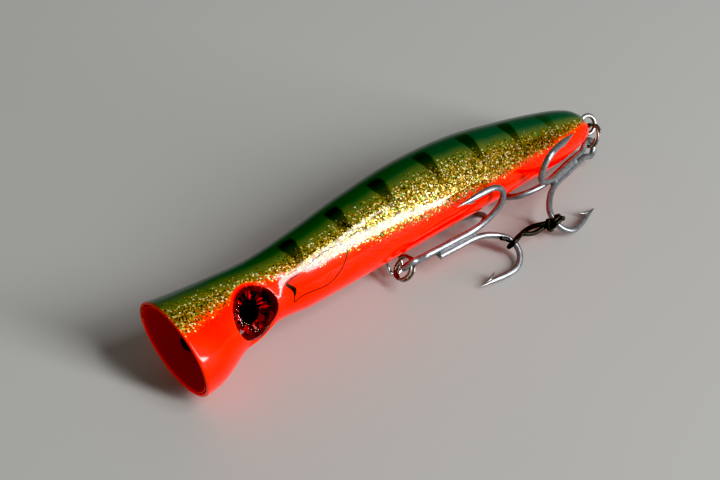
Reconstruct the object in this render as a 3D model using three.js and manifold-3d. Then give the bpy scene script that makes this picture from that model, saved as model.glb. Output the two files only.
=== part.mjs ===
// Topwater popper: a hollow plastic body with a cupped mouth, moulded as two halves around a wire,
// with two treble hooks hung on split rings and tied together with elastic. Millimetres, +Z up.
// The lure lies on a table at z = 0. +X runs from the cup to the tail, and the left flank faces -Y.
import * as THREE from "three";
import { mergeVertices } from "three/addons/utils/BufferGeometryUtils.js";
import Module from "manifold-3d";

const wasm = await Module();
wasm.setup();

// Body
const BODY_LENGTH = 158.8;
const RIM_RADIUS = 15.95;
const LIP_ROUND = 0.6;
const FLANK_RATIO = 0.94;
const WALL = 2.2;
const LIP_WALL = 1.2;
const SEAM_GAP = 0.3;
const MOUTH_RAKE = -0.077;
const RAKE_REACH = 24;
const CHAMBERS = [[-2, 31], [33, 101], [103, 146]];
const TAIL_FROM = 148;

// Heights of the back and of the belly over the body axis, at stations along it
const BACK = [[0, RIM_RADIUS], [8, 14.7], [19, 13.5], [32, 12.6], [48, 13.8], [67, 16], [88, 17.2],
  [109, 15.8], [128, 11.9], [144, 7.7], [152, 4.8], [156, 2], [158, -1.2], [BODY_LENGTH, -4]];
const BELLY = [[0, -RIM_RADIUS], [8, -14.9], [19, -10.4], [32, -7.9], [43, -8.9], [80, -9.3],
  [120, -9.8], [140, -9.9], [150, -8.9], [156, -7.5], [BODY_LENGTH, -6]];

// How the body lies: leaning back on the right flank, tail slightly down
const REST_ROLL = THREE.MathUtils.degToRad(-34);
const REST_PITCH = THREE.MathUtils.degToRad(0.3);
const AXIS_HEIGHT = 15.95;

// Eyes
const EYE_X = 22.65;
const EYE_Z = 1.15;
const EYE_SEAT = 6.7;
const EYE_TILT = THREE.MathUtils.degToRad(6.8);
const EYE_RADIUS = 7.1;
const SOCKET_RADIUS = 7.5;
const SOCKET_DEPTH = 0.3;
const BOSS_RADIUS = 8.9;
const BOSS_DEPTH = 2.2;
const BOSS_HEIGHT = 5;
const IRIS_THICKNESS = 0.6;
const DOME_BASE = 0.9;
const DOME_HEIGHT = 2.7;
const PUPIL_RADIUS = 2.6;
const PUPIL_THICKNESS = 0.5;
const PUPIL_CLEARANCE = 0.4;

// Cup liner: its bowl and its back, each point at [distance from the lip, radius]
const CUP_BOWL = [[0.3, 13.3], [2.5, 12.2], [6, 9.7], [9.3, 6], [10.8, 2.5]];
const CUP_BACK = [[12.1, 2.5], [10.5, 6.7], [7.1, 10.5], [3.1, 12.7], [0.3, 13.95]];

// Wires, rings and hooks
const WIRE_RADIUS = 0.75;
const STRAND_OFFSET = 0.95;
const TOW_EYE_X = 6.2;
const TOW_EYE_RADIUS = 2.6;
const TAIL_LOOP_RADIUS = 3;
const TAIL_LOOP_X = 159.8;
const TAIL_LOOP_Z = -3.9;
const HANGER_X = 75.1;
const HANGER_HALF_WIDTH = 2.5;
const HANGER_LOW = -12.1;
const HANGER_HIGH = 2.3;
const HANGER_TWIST = 1.9;
const HANGER_WIRE_RADIUS = 0.65;
const WIRE_CLEARANCE = 0.4;
const RING_RADIUS = 3.7;
const RING_WIRE_RADIUS = 0.45;
const RING_PITCH = 1.05;
const RING_TURNS = 1.9;
const HOOK_WIRE_RADIUS = 1;
const HOOK_BUNDLE_RADIUS = 1.35;
const HOOK_EYE_RADIUS = 2.7;
const HOOK_NECK = 4;
const HOOK_DOUBLE_START = 7;
const HOOK_SINGLE_START = 9.5;
const HOOK_BEND_CENTRE = 28.2;
const HOOK_BEND_RADIUS = 6;
const HOOK_REACH = 15.9;
const HOOK_LEG_END = 20.6;
const HOOK_LEG_DROP = 0.3;
const HOOK_POINT_LENGTH = 5;
const BARB_LENGTH = 3;
const BARB_RADIUS = 0.7;
const BARB_LEAN = 0.35;

// Where the rings and hooks hang: centre, direction of the X axis, and direction the Z axis leans to
const BELLY_RING_REST = {
  at: [75.31, -10.88, 7.87],
  heading: [-0.568, 0.351, -0.73],
  up: [0.69, -0.272, -0.671],
};
const TAIL_RING_REST = {
  at: [158.59, -5.12, 9.84],
  heading: [-0.478, -0.751, -0.457],
  up: [-0.861, 0.298, 0.413],
};
const BELLY_HOOK_REST = {
  at: [76.93, -12.99, 9.83],
  heading: [0.999, -0.036, -0.033],
  up: [0.043, 0.013, 0.999],
};
const TAIL_HOOK_REST = {
  at: [156.28, -6.36, 6.49],
  heading: [-0.949, -0.279, 0.149],
  up: [0.15, -0.015, 0.989],
};

// Weights, rattle and elastic
const BALLAST = [
  { name: "ballast_belly", x: 57, z: -3.9, radius: 2.6, length: 20 },
  { name: "ballast_tail", x: 115, z: -4.9, radius: 2.2, length: 18 },
];
const RATTLE_X = 76;
const RATTLE_Z = 7.7;
const RATTLE_LENGTH = 40;
const RATTLE_BORE = 3.25;
const RATTLE_WALL = 0.9;
const RATTLE_DIVIDER = 2;
const BALL_RADIUS = 2.9;
const BALL_X = 6;
const PLUG_RADIUS = 2.95;
const PLUG_LENGTH = 2.4;
const ELASTIC_RADIUS = 0.75;
const STRAND_SPREAD = 1.2;
const TWIST_TURNS = 0.5;
const STRAND_POINTS = 8;
const WRAP_RADIUS = 2;
const WRAP_AT = [110.45, -21.4, 4.7];
const WRAP_HEADING = [0.24, -0.84, -0.475];
const WRAP_UP = [0, -0.49, 0.87];
const KNOT_REST = { at: [125.35, -23.8, 6.4], heading: [0.1, -0.841, -0.532], up: [0, 0, 1] };
const KNOT_BORE = 1.45;
const KNOT_RADIUS = 2.6;
const KNOT_LENGTH = 3.4;
const LOOSE_END = [[108.6, -20.6, 6.6], [107.6, -20.2, 7.2], [106.6, -19.6, 7.7]];

const paint = (color, roughness, metalness = 0) =>
  new THREE.MeshStandardMaterial({ color, roughness, metalness });
const bodyPaint = paint(0xe8420f, 0.25);
const cupPaint = paint(0x7a0b05, 0.35);
const foil = paint(0x6e0d12, 0.3, 0.6);
const black = paint(0x0b0b0d, 0.4);
const lens = paint(0xd8c8c8, 0.05);
const brightSteel = paint(0xc4c6c8, 0.25, 1);
const darkSteel = paint(0x5a5c60, 0.3, 1);
const tinnedSteel = paint(0xb4b8bc, 0.32, 1);
const lead = paint(0x6c6e72, 0.6, 0.6);
const clearPlastic = paint(0xcfd4d6, 0.2);
const elastic = paint(0x08080a, 0.6);

function solid(geometry) {
  const bare = geometry.clone();
  bare.deleteAttribute("normal");
  bare.deleteAttribute("uv");
  const merged = mergeVertices(bare, 1e-4);
  return new wasm.Manifold(new wasm.Mesh({
    numProp: 3,
    vertProperties: Float32Array.from(merged.attributes.position.array),
    triVerts: Uint32Array.from(merged.index.array),
  }));
}

function geometryOf(manifold) {
  const { vertProperties, triVerts } = manifold.getMesh();
  const geometry = new THREE.BufferGeometry();
  geometry.setAttribute("position", new THREE.BufferAttribute(vertProperties, 3));
  geometry.setIndex(new THREE.BufferAttribute(triVerts, 1));
  return geometry;
}

function mesh(name, geometry, material) {
  const part = new THREE.Mesh(geometry, material);
  part.name = name;
  return part;
}

// A lathe turned about the X axis: each profile point is [x, radius]
function turnedAboutX(profile, segments) {
  const points = profile.map(([x, radius]) => new THREE.Vector2(radius, x));
  return new THREE.LatheGeometry(points, segments).rotateZ(-Math.PI / 2);
}

function tube(path, radius, steps, sides = 8) {
  const section = new THREE.Shape().absarc(0, 0, radius, 0, 2 * Math.PI);
  return new THREE.ExtrudeGeometry(section,
    { steps, curveSegments: sides / 2, bevelEnabled: false, extrudePath: path });
}

const spline = (points) => new THREE.CatmullRomCurve3(points, false, "centripetal");

function arcPoints(centreX, centreY, radius, fromDegrees, toDegrees, count) {
  const points = [];
  for (let i = 0; i < count; i++) {
    const angle = THREE.MathUtils.degToRad(THREE.MathUtils.lerp(fromDegrees, toDegrees, i / (count - 1)));
    points.push([centreX + radius * Math.cos(angle), centreY + radius * Math.sin(angle)]);
  }
  return points;
}

// ---- Body shell ----
function outline(stations) {
  const curve = new THREE.CubicInterpolant(stations.map((s) => s[0]), stations.map((s) => s[1]), 1);
  return (x) => curve.evaluate(THREE.MathUtils.clamp(x, 0, BODY_LENGTH))[0];
}
const backAt = outline(BACK);
const bellyAt = outline(BELLY);
const halfHeightAt = (x) => (backAt(x) - bellyAt(x)) / 2;
const flankRatioAt = (x) => THREE.MathUtils.lerp(1, FLANK_RATIO, THREE.MathUtils.smoothstep(x, 0, 19));
const wallAt = (x) => THREE.MathUtils.lerp(LIP_WALL, WALL, THREE.MathUtils.smoothstep(x, 0, 8));

// Moves a form turned about X onto the arched, raked body
function bentToBody(geometry) {
  const position = geometry.attributes.position;
  for (let i = 0; i < position.count; i++) {
    const x = position.getX(i);
    const z = position.getZ(i) + (backAt(x) + bellyAt(x)) / 2;
    position.setY(i, position.getY(i) * flankRatioAt(x));
    position.setZ(i, z);
    position.setX(i, x + MOUTH_RAKE * z * Math.max(0, 1 - x / RAKE_REACH));
  }
  return geometry;
}

function bodySlice(from, to, step, radiusAt, segments) {
  const count = Math.round((to - from) / step);
  const profile = [[from, 0]];
  for (let i = 0; i <= count; i++) {
    const x = THREE.MathUtils.lerp(from, to, i / count);
    profile.push([x, radiusAt(x)]);
  }
  profile.push([to, 0]);
  return solid(bentToBody(turnedAboutX(profile, segments)));
}

const outerRadiusAt = (x) => halfHeightAt(x) - LIP_ROUND * (1 - Math.sqrt(Math.min(1, x / LIP_ROUND)));
const innerRadiusAt = (x) => halfHeightAt(x) - wallAt(x);

function eyePlacement(side) {
  const matrix = new THREE.Matrix4().makeTranslation(EYE_X, side * EYE_SEAT, EYE_Z);
  matrix.multiply(new THREE.Matrix4().makeRotationZ(-side * EYE_TILT));
  return side < 0 ? matrix.multiply(new THREE.Matrix4().makeRotationX(Math.PI)) : matrix;
}

function eyeCylinder(side, radius, low, high) {
  const cylinder = new THREE.CylinderGeometry(radius, radius, high - low, 28);
  return solid(cylinder.translate(0, (low + high) / 2, 0).applyMatrix4(eyePlacement(side)));
}

function halfSpace(side) {
  const size = 2 * BODY_LENGTH;
  const box = new THREE.BoxGeometry(size, size, size);
  return solid(box.translate(size / 4, side * (size + SEAM_GAP) / 2, 0));
}

function bodyShell() {
  const coarse = bodySlice(0, TAIL_FROM, 5, outerRadiusAt, 36);
  const end = bodySlice(TAIL_FROM, BODY_LENGTH, 1.8, outerRadiusAt, 36);
  const lip = bodySlice(0, 4, 0.8, outerRadiusAt, 36);
  const outer = coarse.add(end).add(lip);
  let shell = outer;
  for (const [from, to] of CHAMBERS) {
    shell = shell.subtract(bodySlice(from, to, 10, innerRadiusAt, 20));
  }
  for (const side of [-1, 1]) {
    const boss = eyeCylinder(side, BOSS_RADIUS, -BOSS_DEPTH, BOSS_HEIGHT).intersect(outer);
    shell = shell.add(boss).subtract(eyeCylinder(side, SOCKET_RADIUS, -SOCKET_DEPTH, 8));
  }
  const wireRoute = solid(tube(throughWirePath(), WIRE_RADIUS + WIRE_CLEARANCE, 80, 6));
  const hangerRoute = solid(tube(hangerPath(), HANGER_WIRE_RADIUS + WIRE_CLEARANCE, 40, 6));
  return shell.subtract(wireRoute).subtract(hangerRoute);
}

// ---- Cup liner ----
function cupLiner() {
  const ring = [...CUP_BACK, ...CUP_BOWL, CUP_BACK[0]].reverse();
  const geometry = turnedAboutX(ring, 36);
  const position = geometry.attributes.position;
  for (let i = 0; i < position.count; i++) {
    const x = position.getX(i);
    position.setX(i, x + MOUTH_RAKE * position.getZ(i) * Math.max(0, 1 - x / RAKE_REACH));
  }
  return geometry;
}

// ---- Wires ----
const inCentrePlane = ([x, z]) => new THREE.Vector3(x, 0, z);

function throughWirePath() {
  const towEye = arcPoints(TOW_EYE_X, 0, TOW_EYE_RADIUS, -50, -310, 9);
  const tailLoop = arcPoints(TAIL_LOOP_X, TAIL_LOOP_Z, TAIL_LOOP_RADIUS, 140, -140, 9);
  return spline([
    [28, -STRAND_OFFSET], [14, -STRAND_OFFSET], ...towEye, [14, STRAND_OFFSET], [40, 0.8], [80, 0],
    [128, -1.4], [151, -2.7], ...tailLoop, [151, -4.7], [130, -3.8],
  ].map(inCentrePlane));
}

// An oval link whose low loop lies in the centre plane and whose high loop crosses over the through wire
function hangerPath() {
  const left = HANGER_X - HANGER_HALF_WIDTH;
  const right = HANGER_X + HANGER_HALF_WIDTH;
  const low = arcPoints(HANGER_X, HANGER_LOW, HANGER_HALF_WIDTH, 0, -180, 7).map(inCentrePlane);
  const leg = (x, z, twist) => new THREE.Vector3(x, twist * HANGER_TWIST, z);
  return spline([
    leg(right, -7, 0), leg(right, -9.5, 0), ...low, leg(left, -9, 0), leg(left, -6, 0), leg(left, -2, -1),
    leg(left, 0.4, -1), leg(left + 1, HANGER_HIGH - 0.5, -0.7), leg(HANGER_X, HANGER_HIGH, 0),
    leg(right - 1, HANGER_HIGH - 0.5, 0.7), leg(right, 0.4, 1), leg(right, -2, 1), leg(right, -5, 0.1),
  ]);
}

// ---- Split ring, its axis along Z ----
function splitRing() {
  class Coil extends THREE.Curve {
    getPoint(t, target = new THREE.Vector3()) {
      const angle = 2 * Math.PI * RING_TURNS * t + Math.PI / 2;
      return target.set(RING_RADIUS * Math.cos(angle), RING_RADIUS * Math.sin(angle),
        RING_PITCH * RING_TURNS * (t - 0.5));
    }
  }
  return tube(new Coil(), RING_WIRE_RADIUS, 44, 6);
}

// ---- Treble hook: eye at the origin, shank along +X, first prong towards +Z ----
const prongAngle = (index) => index * 2 * Math.PI / 3;

function prongVector(along, out, angle) {
  return new THREE.Vector3(along, -out * Math.sin(angle), out * Math.cos(angle));
}

// From the eye end of the shank to the start of the point
function prongLine(angle, start) {
  const centreOut = HOOK_REACH - HOOK_BEND_RADIUS;
  const bend = arcPoints(HOOK_BEND_CENTRE, centreOut, HOOK_BEND_RADIUS, -64, 90, 8);
  const line = [[start, HOOK_BUNDLE_RADIUS], [16, HOOK_BUNDLE_RADIUS], [23, HOOK_BUNDLE_RADIUS],
    [27.4, 1.9], ...bend, [25, HOOK_REACH], [HOOK_LEG_END, HOOK_REACH - HOOK_LEG_DROP]];
  return line.map(([along, out]) => prongVector(along, out, angle));
}

function pointAndBarb(angle) {
  const point = new THREE.ConeGeometry(HOOK_WIRE_RADIUS, HOOK_POINT_LENGTH, 8);
  point.rotateZ(Math.PI / 2).translate(-HOOK_POINT_LENGTH / 2 + 0.1, 0, 0);
  const barb = new THREE.ConeGeometry(BARB_RADIUS, BARB_LENGTH, 6);
  barb.rotateZ(-Math.PI / 2).rotateY(BARB_LEAN).translate(-0.4, 0, -BARB_RADIUS);
  const placement = new THREE.Matrix4().makeRotationX(angle);
  const end = prongVector(HOOK_LEG_END, HOOK_REACH - HOOK_LEG_DROP, angle);
  placement.setPosition(end);
  return solid(point.applyMatrix4(placement)).add(solid(barb.applyMatrix4(placement)));
}

function doubleHook(firstAngle, secondAngle) {
  const first = prongLine(firstAngle, HOOK_DOUBLE_START);
  const second = prongLine(secondAngle, HOOK_DOUBLE_START);
  const across = first[0].clone().sub(second[0]).setX(0);
  const halfGap = across.length() / 2;
  across.normalize();
  const centre = first[0].clone().add(second[0]).multiplyScalar(0.5).setX(0);
  const eye = arcPoints(0, 0, HOOK_EYE_RADIUS, 55, 305, 9).map(([along, out]) =>
    centre.clone().addScaledVector(across, out).setX(along));
  const neck = [1, -1].map((sign) =>
    centre.clone().addScaledVector(across, sign * halfGap).setX(HOOK_NECK));
  const path = spline([...first.reverse(), neck[0], ...eye, neck[1], ...second]);
  const wire = solid(tube(path, HOOK_WIRE_RADIUS, 84, 6));
  return geometryOf(wire.add(pointAndBarb(firstAngle)).add(pointAndBarb(secondAngle)));
}

function singleHook(angle) {
  const wire = solid(tube(spline(prongLine(angle, HOOK_SINGLE_START)), HOOK_WIRE_RADIUS, 34, 6));
  return geometryOf(wire.add(pointAndBarb(angle)));
}

// ---- Assembly ----
const popper = new THREE.Group();

const body = new THREE.Group();
body.rotation.set(REST_ROLL, REST_PITCH, 0, "ZYX");
body.position.z = AXIS_HEIGHT;
popper.add(body);

const shell = bodyShell();
body.add(mesh("body_left", geometryOf(shell.intersect(halfSpace(-1))), bodyPaint));
body.add(mesh("body_right", geometryOf(shell.intersect(halfSpace(1))), bodyPaint.clone()));
body.add(mesh("cup_liner", cupLiner(), cupPaint));
body.add(mesh("through_wire", tube(throughWirePath(), WIRE_RADIUS, 80, 6), brightSteel));
body.add(mesh("belly_hanger", tube(hangerPath(), HANGER_WIRE_RADIUS, 40, 6), brightSteel.clone()));

function addEye(side, suffix) {
  const eye = new THREE.Group();
  eye.applyMatrix4(eyePlacement(side));
  const iris = new THREE.CylinderGeometry(EYE_RADIUS, EYE_RADIUS, IRIS_THICKNESS, 28);
  eye.add(mesh(`eye_iris_${suffix}`, iris.translate(0, IRIS_THICKNESS / 2, 0), foil.clone()));
  const pupil = new THREE.CylinderGeometry(PUPIL_RADIUS, PUPIL_RADIUS, PUPIL_THICKNESS, 20);
  pupil.translate(0, DOME_BASE + PUPIL_THICKNESS / 2, 0);
  eye.add(mesh(`eye_pupil_${suffix}`, pupil, black.clone()));
  const sphereRadius = (EYE_RADIUS ** 2 + DOME_HEIGHT ** 2) / (2 * DOME_HEIGHT);
  const sphereCentre = DOME_BASE + DOME_HEIGHT - sphereRadius;
  const edgeDegrees = THREE.MathUtils.radToDeg(Math.asin((DOME_BASE - sphereCentre) / sphereRadius));
  const recess = PUPIL_RADIUS + PUPIL_CLEARANCE;
  const recessTop = DOME_BASE + PUPIL_THICKNESS + PUPIL_CLEARANCE;
  const profile = [[0, recessTop], [recess, recessTop], [recess, DOME_BASE],
    ...arcPoints(0, sphereCentre, sphereRadius, edgeDegrees, 90, 6)];
  profile[profile.length - 1][0] = 0;
  const dome = new THREE.LatheGeometry(profile.map(([r, y]) => new THREE.Vector2(r, y)), 28);
  eye.add(mesh(`eye_dome_${suffix}`, dome, lens.clone()));
  body.add(eye);
}
addEye(-1, "left");
addEye(1, "right");

for (const { name, x, z, radius, length } of BALLAST) {
  const slug = new THREE.CapsuleGeometry(radius, length - 2 * radius, 4, 16).rotateZ(Math.PI / 2);
  body.add(mesh(name, slug.translate(x, 0, z), lead.clone()));
}

const rattle = new THREE.Group();
rattle.position.set(RATTLE_X, 0, RATTLE_Z);
body.add(rattle);
const tubeRadius = RATTLE_BORE + RATTLE_WALL;
const blank = new THREE.CylinderGeometry(tubeRadius, tubeRadius, RATTLE_LENGTH, 24);
let rattleTube = solid(blank.rotateZ(Math.PI / 2));
for (const [side, suffix] of [[-1, "front"], [1, "rear"]]) {
  const cell = new THREE.CylinderGeometry(RATTLE_BORE, RATTLE_BORE, RATTLE_LENGTH / 2, 24);
  cell.rotateZ(Math.PI / 2).translate(side * (RATTLE_LENGTH / 4 + RATTLE_DIVIDER / 2), 0, 0);
  rattleTube = rattleTube.subtract(solid(cell));
  const ball = new THREE.SphereGeometry(BALL_RADIUS, 16, 10);
  rattle.add(mesh(`rattle_ball_${suffix}`, ball.translate(side * BALL_X, 0, 0), tinnedSteel.clone()));
  const plug = new THREE.CylinderGeometry(PLUG_RADIUS, PLUG_RADIUS, PLUG_LENGTH, 20);
  plug.rotateZ(Math.PI / 2).translate(side * (RATTLE_LENGTH - PLUG_LENGTH) / 2, 0, 0);
  rattle.add(mesh(`rattle_plug_${suffix}`, plug, clearPlastic.clone()));
}
rattle.add(mesh("rattle_tube", geometryOf(rattleTube), clearPlastic));

// A new group at a resting place: its X axis runs along the heading and its Z axis leans towards up
function hangingGroup({ at, heading, up }) {
  const group = new THREE.Group();
  const x = new THREE.Vector3(...heading).normalize();
  const y = new THREE.Vector3(...up).cross(x).normalize();
  const z = x.clone().cross(y);
  group.quaternion.setFromRotationMatrix(new THREE.Matrix4().makeBasis(x, y, z));
  group.position.set(...at);
  popper.add(group);
  return group;
}

const bellyRing = hangingGroup(BELLY_RING_REST);
bellyRing.add(mesh("belly_ring", splitRing(), darkSteel));
const tailRing = hangingGroup(TAIL_RING_REST);
tailRing.add(mesh("tail_ring", splitRing(), darkSteel.clone()));

const bellyHook = hangingGroup(BELLY_HOOK_REST);
bellyHook.add(mesh("belly_hook_double", doubleHook(prongAngle(0), prongAngle(-1)), tinnedSteel));
bellyHook.add(mesh("belly_hook_single", singleHook(prongAngle(1)), tinnedSteel.clone()));
const tailHook = hangingGroup(TAIL_HOOK_REST);
tailHook.add(mesh("tail_hook_double", doubleHook(prongAngle(0), prongAngle(-1)), tinnedSteel.clone()));
tailHook.add(mesh("tail_hook_single", singleHook(prongAngle(1)), tinnedSteel.clone()));

// ---- Elastic tie: knotted round a tail prong, with two twisted strands looped over a belly prong ----
const wrapCentre = new THREE.Vector3(...WRAP_AT);
const wrapUp = new THREE.Vector3(...WRAP_UP).normalize();
const wrapAway = wrapUp.clone().cross(new THREE.Vector3(...WRAP_HEADING)).normalize();
const aroundWrap = (away, up) =>
  wrapCentre.clone().addScaledVector(wrapAway, away).addScaledVector(wrapUp, up);

function tieStrand(phase) {
  const start = aroundWrap(WRAP_RADIUS + 1.5, 0);
  const knotCentre = new THREE.Vector3(...KNOT_REST.at);
  const end = knotCentre.clone().add(start.clone().sub(knotCentre).setLength(KNOT_RADIUS + ELASTIC_RADIUS));
  const side = end.clone().sub(start).cross(wrapUp).normalize();
  const points = [];
  for (let i = 0; i <= STRAND_POINTS; i++) {
    const angle = phase + 2 * Math.PI * TWIST_TURNS * i / STRAND_POINTS;
    const point = start.clone().lerp(end, i / STRAND_POINTS);
    point.addScaledVector(wrapUp, STRAND_SPREAD * Math.cos(angle));
    points.push(point.addScaledVector(side, STRAND_SPREAD * Math.sin(angle)));
  }
  return points;
}

function tieBand() {
  const wrap = arcPoints(0, 0, WRAP_RADIUS, 70, 290, 7).map(([away, up]) => aroundWrap(away, up));
  const path = spline([...tieStrand(0).reverse(), ...wrap, ...tieStrand(Math.PI)]);
  return tube(path, ELASTIC_RADIUS, 64, 6);
}

const halfKnot = KNOT_LENGTH / 2;
const knotProfile = [[-halfKnot, KNOT_BORE], [0.5 - halfKnot, KNOT_RADIUS - 0.4], [-0.5, KNOT_RADIUS],
  [0, KNOT_RADIUS - 0.3], [0.5, KNOT_RADIUS], [halfKnot - 0.5, KNOT_RADIUS - 0.4], [halfKnot, KNOT_BORE],
  [-halfKnot, KNOT_BORE]];
const knot = hangingGroup(KNOT_REST);
knot.add(mesh("tie_knot", turnedAboutX(knotProfile, 20), elastic));
const tie = new THREE.Group();
tie.add(mesh("tie_band", tieBand(), elastic.clone()));
const looseEnd = spline(LOOSE_END.map((point) => new THREE.Vector3(...point)));
tie.add(mesh("tie_loose_end", tube(looseEnd, ELASTIC_RADIUS, 6, 6), elastic.clone()));
popper.add(tie);

// Centre the object on its own footprint
const box = new THREE.Box3().setFromObject(popper, true);
const foot = box.getCenter(new THREE.Vector3()).setZ(box.min.z);
for (const group of popper.children) {
  group.position.sub(foot);
}

export default popper;
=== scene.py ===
"""Topwater popper: paint, eyes, wires, split rings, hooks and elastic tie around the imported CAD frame."""

import math

import bmesh
import bpy
import numpy as np
from mathutils import Matrix, Vector


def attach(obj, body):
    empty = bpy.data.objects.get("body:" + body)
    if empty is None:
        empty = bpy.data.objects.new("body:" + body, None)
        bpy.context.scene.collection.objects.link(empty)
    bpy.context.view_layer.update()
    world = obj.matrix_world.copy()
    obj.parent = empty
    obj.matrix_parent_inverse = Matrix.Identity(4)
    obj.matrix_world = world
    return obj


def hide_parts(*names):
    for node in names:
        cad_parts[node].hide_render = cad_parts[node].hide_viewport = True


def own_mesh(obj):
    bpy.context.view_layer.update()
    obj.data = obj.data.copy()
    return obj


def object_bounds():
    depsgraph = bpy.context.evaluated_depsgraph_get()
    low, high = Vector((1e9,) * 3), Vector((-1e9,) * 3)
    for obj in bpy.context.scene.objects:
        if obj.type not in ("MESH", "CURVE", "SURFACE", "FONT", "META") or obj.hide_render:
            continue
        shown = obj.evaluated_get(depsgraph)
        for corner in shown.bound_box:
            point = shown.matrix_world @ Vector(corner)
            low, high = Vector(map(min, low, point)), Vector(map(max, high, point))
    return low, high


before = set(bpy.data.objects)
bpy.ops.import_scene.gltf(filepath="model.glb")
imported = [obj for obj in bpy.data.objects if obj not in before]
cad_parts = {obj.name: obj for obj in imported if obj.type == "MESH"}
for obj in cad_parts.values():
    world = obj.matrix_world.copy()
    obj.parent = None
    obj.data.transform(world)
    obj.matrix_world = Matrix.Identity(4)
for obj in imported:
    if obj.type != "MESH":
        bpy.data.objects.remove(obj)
cad_low, cad_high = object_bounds()

# The script's own unit is the millimetre. Two sets of axes lie in the row frame, where the CAD lays the lure:
# TABLE is level, with its origin FOOT under the centre of the rim, and LURE is the lure's own, with x to the
# tail, z to its back and the left flank at -y.
MM = 0.001
TO_METRES = Matrix.Scale(MM, 4)
FOOT = Vector((-80.978, 6.483, 0.121))
RIM_RADIUS = 15.95
PITCH, ROLL = math.radians(0.3), math.radians(-34)
TABLE = Matrix.Translation(FOOT)
RIM_CENTRE = Matrix.Translation(FOOT + Vector((0, 0, RIM_RADIUS)))
LURE = RIM_CENTRE @ Matrix.Rotation(PITCH, 4, "Y") @ Matrix.Rotation(ROLL, 4, "X")

CAMERA_AT, CAMERA_LOOK = Vector((-127.1, -244.6, 350.8)), Vector((0.4243, 0.535, -0.7306))
LENS_LENGTH, SENSOR_WIDTH = 50, 23.5


def link(made):
    bpy.context.scene.collection.objects.link(made)


# ---- camera
def make_camera():
    data = bpy.data.cameras.new("camera")
    data.lens, data.sensor_width = LENS_LENGTH, SENSOR_WIDTH
    data.clip_start, data.clip_end = 0.01, 20
    camera = bpy.data.objects.new("camera", data)
    link(camera)
    camera.location = (CAMERA_AT + FOOT) * MM
    camera.rotation_mode = "QUATERNION"
    camera.rotation_quaternion = CAMERA_LOOK.to_track_quat("-Z", "Y")
    bpy.context.scene.camera = camera


make_camera()


# ---- node helpers
def new_material(name):
    material = bpy.data.materials.new(name)
    material.use_nodes = True
    tree = material.node_tree
    shader = tree.nodes["Principled BSDF"]
    return material, tree, shader


def node(tree, kind, *inputs, **settings):
    """A shader node with its settings made and its first inputs filled in."""
    made = tree.nodes.new("ShaderNode" + kind)
    for key, value in settings.items():
        setattr(made, key, value)
    for socket, value in zip(made.inputs, inputs):
        fill(tree, socket, value)
    return made


def fill(tree, socket, value):
    """Links the socket if value is another node's output, or else sets it to that value."""
    if isinstance(value, bpy.types.NodeSocket):
        tree.links.new(value, socket)
    else:
        socket.default_value = value


def set_inputs(tree, shader, values):
    """Fills in the shader's sockets by name."""
    for name, value in values.items():
        fill(tree, shader.inputs[name], value)


def maths(tree, operation, *inputs):
    return node(tree, "Math", *inputs, operation=operation).outputs[0]


def plus(tree, a, b):
    return maths(tree, "ADD", a, b)


def minus(tree, a, b):
    return maths(tree, "SUBTRACT", a, b)


def scaled(tree, value, factor, shift):
    return maths(tree, "MULTIPLY_ADD", value, factor, shift)


def product(tree, first, *others):
    for other in others:
        first = maths(tree, "MULTIPLY", first, other)
    return first


def carried(tree, name, output="Fac"):
    """What the mesh carries at each point under this name."""
    return node(tree, "Attribute", attribute_name=name).outputs[output]


def measured(tree, name):
    """The three numbers of a vector that the mesh carries."""
    return node(tree, "SeparateXYZ", carried(tree, name, "Vector")).outputs


def smoothstep(tree, *value_and_limits):
    """A smooth rise from 0 to 1, or between the last two limits, as value goes between the first two."""
    return node(tree, "MapRange", *value_and_limits, interpolation_type="SMOOTHSTEP").outputs[0]


def mix(tree, factor, a, b):
    """Colour a where factor is 0, and b where it is 1. The node's colour sockets are its inputs 6 and 7."""
    made = node(tree, "Mix", data_type="RGBA")
    for index, value in ((0, factor), (6, a), (7, b)):
        fill(tree, made.inputs[index], value)
    return made.outputs[2]


def ramp(tree, value, stops, interpolation="LINEAR"):
    made = node(tree, "ValToRGB", value)
    elements = made.color_ramp.elements
    made.color_ramp.interpolation = interpolation
    while len(elements) < len(stops):
        elements.new(0.5)
    for element, (position, colour) in zip(elements, stops):
        element.position = position
        element.color = colour
    return made.outputs[0]


def noise(tree, scale, detail=3.0, roughness=0.5):
    """Noise in the piece's own axes, in metres."""
    made = node(tree, "TexNoise")
    space = node(tree, "TexCoord").outputs["Object"]
    set_inputs(tree, made, {"Vector": space, "Scale": scale, "Detail": detail, "Roughness": roughness})
    return made.outputs["Fac"]


def cells(tree, vector, scale):
    """Three random numbers for each cell of a Voronoi pattern."""
    made = node(tree, "TexVoronoi")
    set_inputs(tree, made, {"Vector": vector, "Scale": scale})
    return node(tree, "SeparateColor", made.outputs["Color"]).outputs


def bump(tree, height, strength, distance):
    made = node(tree, "Bump")
    set_inputs(tree, made, {"Height": height, "Strength": strength, "Distance": distance})
    return made.outputs["Normal"]


def srgb(r, g, b):
    """An sRGB colour of 0 to 255 as the linear colour that shaders take."""
    linear = [((c / 255 + 0.055) / 1.055) ** 2.4 if c > 10 else c / 255 / 12.92 for c in (r, g, b)]
    return (*linear, 1)


# ---- mesh helpers
def add_piece(name, form, matrix, material, body, replaces=(), smooth=True):
    """A mesh piece of a form: vertices, in millimetres in the axes that matrix places, and faces."""
    vertices, faces = form
    mesh = bpy.data.meshes.new(name)
    mesh.from_pydata([tuple(v) for v in vertices], [], [tuple(f) for f in faces])
    mesh.transform(TO_METRES @ matrix)
    mesh.validate()
    if smooth:
        mesh.shade_smooth()
    else:
        mesh.shade_flat()
    piece = bpy.data.objects.new(name, mesh)
    link(piece)
    mesh.materials.append(material)
    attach(piece, body)
    if replaces:
        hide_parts(*replaces)
    return piece


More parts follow.
